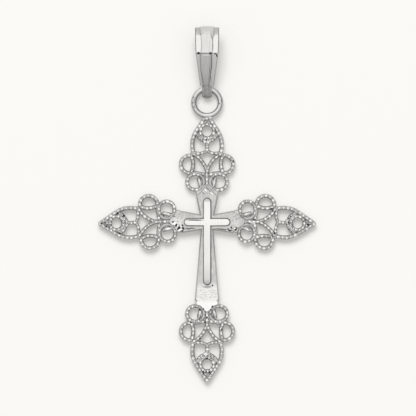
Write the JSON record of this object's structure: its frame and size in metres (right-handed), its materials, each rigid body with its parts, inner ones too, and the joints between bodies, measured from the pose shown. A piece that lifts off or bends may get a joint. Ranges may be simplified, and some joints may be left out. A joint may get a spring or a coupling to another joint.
{
  "type": "filigree cross pendant",
  "caption": "Flared cross pendant with a raised inner cross, pierced filigree finials, a soldered top ring and a tapered bail, lying on its back.",
  "frame": {"origin": "where the arms of the cross meet, on the flat back", "axes": "+X along the side arm on the viewer's right, +Y up the cross to the bail, +Z out of the face"},
  "size_m": [0.0206, 0.0339, 0.003],
  "materials": {
    "cast_white_gold": "rhodium plated, polished high points over a satin cast face",
    "polished_white_gold": "rhodium plated, mirror polished"
  },
  "bodies": {
    "root": {"filigree_cross": "cast_white_gold", "bail": "polished_white_gold"}
  },
  "joints": []
}
